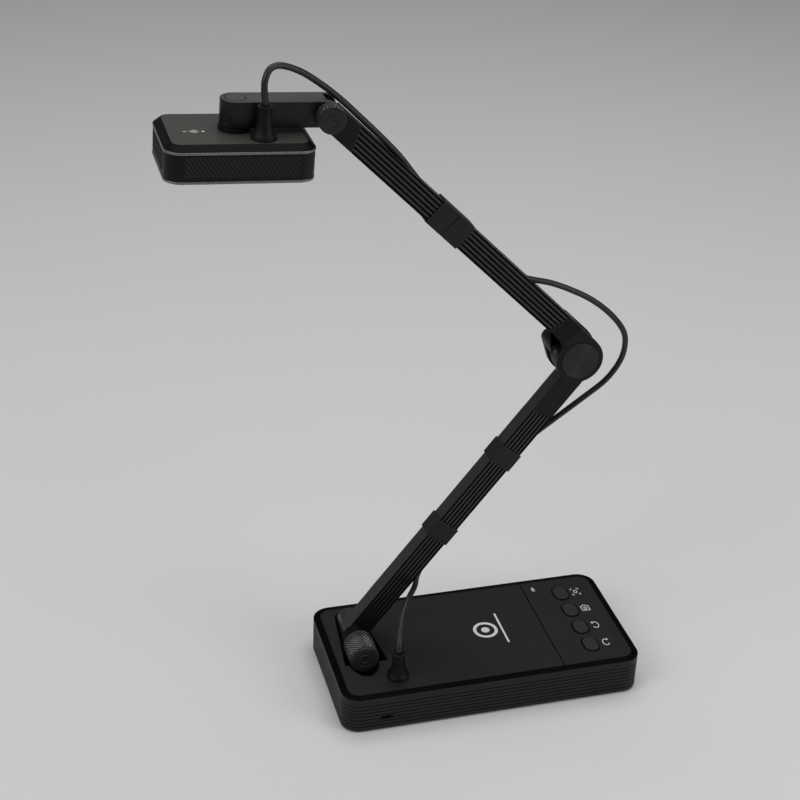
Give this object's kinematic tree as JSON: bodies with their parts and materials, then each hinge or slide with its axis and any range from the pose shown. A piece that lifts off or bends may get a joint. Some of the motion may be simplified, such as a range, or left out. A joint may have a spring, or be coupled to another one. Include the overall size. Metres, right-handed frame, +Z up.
{
  "type": "document camera",
  "caption": "Folding document camera: weighted base with push buttons, hinged jointed arm with locking knobs, and a swivelling camera head with a downward lens and lamp.",
  "frame": {"origin": "centre of the base's rubber pad, on the surface it stands on", "axes": "+X along the base towards the push buttons, +Y from the knobs' side to the back, +Z up"},
  "size_m": [0.3541, 0.12, 0.5049],
  "materials": {
    "black_plastic": "fine satin texture",
    "band_plastic": "satin, grooved",
    "plate_black": "smooth satin",
    "head_plate": "smooth satin, slightly warm",
    "trim_grey": "satin",
    "arm_aluminium": "black anodised",
    "fitting_plastic": "satin, moulded",
    "clip_plastic": "satin",
    "knob_metal": "black anodised, knurled",
    "button_plastic": "semi-gloss",
    "boot_rubber": "soft satin",
    "cable_sheath": "satin sheath",
    "pad_rubber": "matt, non-slip",
    "ballast_steel": "bare",
    "bolt_steel": "turned",
    "screw_steel": "zinc plated",
    "port_steel": "pressed",
    "washer_brass": "plain",
    "board_green": "glass-fibre board",
    "switch_grey": "moulded",
    "mic_metal": "satin",
    "lens_black": "matt",
    "lens_glass": "coated",
    "lamp_board": "white board",
    "diffuser": "frosted"
  },
  "bodies": {
    "base": {"base_band": "band_plastic", "base_top_shell": "black_plastic", "top_plate": "plate_black", "control_plate": "plate_black", "bottom_cover": "black_plastic", "rubber_pad": "pad_rubber", "base_screws": "screw_steel", "ballast_plate": "ballast_steel", "main_board": "board_green", "board_screws": "screw_steel", "usb_port": "port_steel", "key_board": "board_green", "key_switches": "switch_grey", "mic_capsule": "mic_metal", "hinge_block": "fitting_plastic", "hinge_bolt": "bolt_steel", "base_boot": "boot_rubber", "base_cable": "cable_sheath"},
    "focus_button": {"focus_button": "button_plastic"},
    "snapshot_button": {"snapshot_button": "button_plastic"},
    "rotate_left_button": {"rotate_left_button": "button_plastic"},
    "rotate_right_button": {"rotate_right_button": "button_plastic"},
    "hinge_knob": {"hinge_knob": "knob_metal", "hinge_knob_cap": "clip_plastic"},
    "lower_arm": {"lower_bar": "arm_aluminium", "lower_root": "fitting_plastic", "lower_tongue": "fitting_plastic", "lower_clips": "clip_plastic", "lower_cable": "cable_sheath", "hinge_washers": "washer_brass", "elbow_washers": "washer_brass"},
    "upper_arm": {"upper_bar": "arm_aluminium", "upper_fork": "fitting_plastic", "upper_tip": "fitting_plastic", "upper_clips": "clip_plastic", "elbow_bolt": "bolt_steel", "elbow_caps": "clip_plastic", "upper_cable": "cable_sheath", "elbow_cable": "cable_sheath", "wrist_washers": "washer_brass"},
    "bracket": {"tilt_bracket": "fitting_plastic", "wrist_bolt": "bolt_steel", "bracket_cap": "clip_plastic", "bracket_cable": "cable_sheath"},
    "wrist_knob": {"wrist_knob": "knob_metal", "wrist_knob_cap": "clip_plastic"},
    "head": {"swivel_post": "bolt_steel", "head_top_plate": "head_plate", "head_shell": "black_plastic", "head_trims": "trim_grey", "head_band": "band_plastic", "head_cover": "black_plastic", "head_screws": "screw_steel", "lens_barrel": "lens_black", "lens_glass": "lens_glass", "sensor_board": "board_green", "led_board": "lamp_board", "led_diffuser": "diffuser", "head_boot": "boot_rubber", "head_cable": "cable_sheath"}
  },
  "joints": [
    {"name": "base_hinge", "type": "hinge", "parent": "base", "child": "lower_arm", "pos_m": [-0.0944, 0.0195, 0.0355], "axis": [0, -1, 0], "range_deg": [-25, 35], "deforming": ["base_cable"]},
    {"name": "elbow_hinge", "type": "hinge", "parent": "lower_arm", "child": "upper_arm", "pos_m": [0.0705, 0.0195, 0.26568], "axis": [0, -1, 0], "range_deg": [-75, 50], "deforming": ["elbow_cable"]},
    {"name": "wrist_hinge", "type": "hinge", "parent": "upper_arm", "child": "bracket", "pos_m": [-0.12197, 0.0195, 0.4665], "axis": [0, -1, 0], "range_deg": [-60, 40], "deforming": ["bracket_cable"]},
    {"name": "head_swivel", "type": "hinge", "parent": "bracket", "child": "head", "pos_m": [-0.18238, 0.0195, 0.46966], "axis": [0.0523, 0, 0.9986], "range_deg": [-90, 0], "deforming": ["head_cable"]},
    {"name": "hinge_knob_turn", "type": "hinge", "parent": "base", "child": "hinge_knob", "pos_m": [-0.0944, -0.01, 0.0355], "axis": [0, -1, 0], "range_deg": [-90, 90]},
    {"name": "wrist_knob_turn", "type": "hinge", "parent": "bracket", "child": "wrist_knob", "pos_m": [-0.12197, 0.004, 0.4665], "axis": [0, -1, 0], "range_deg": [-90, 90]},
    {"name": "focus_button_press", "type": "slide", "parent": "base", "child": "focus_button", "axis": [0, 0, -1], "range_m": [0, 0.0006], "stiffness_N_per_m": 300},
    {"name": "snapshot_button_press", "type": "slide", "parent": "base", "child": "snapshot_button", "axis": [0, 0, -1], "range_m": [0, 0.0006], "stiffness_N_per_m": 300},
    {"name": "rotate_left_button_press", "type": "slide", "parent": "base", "child": "rotate_left_button", "axis": [0, 0, -1], "range_m": [0, 0.0006], "stiffness_N_per_m": 300},
    {"name": "rotate_right_button_press", "type": "slide", "parent": "base", "child": "rotate_right_button", "axis": [0, 0, -1], "range_m": [0, 0.0006], "stiffness_N_per_m": 300}
  ]
}
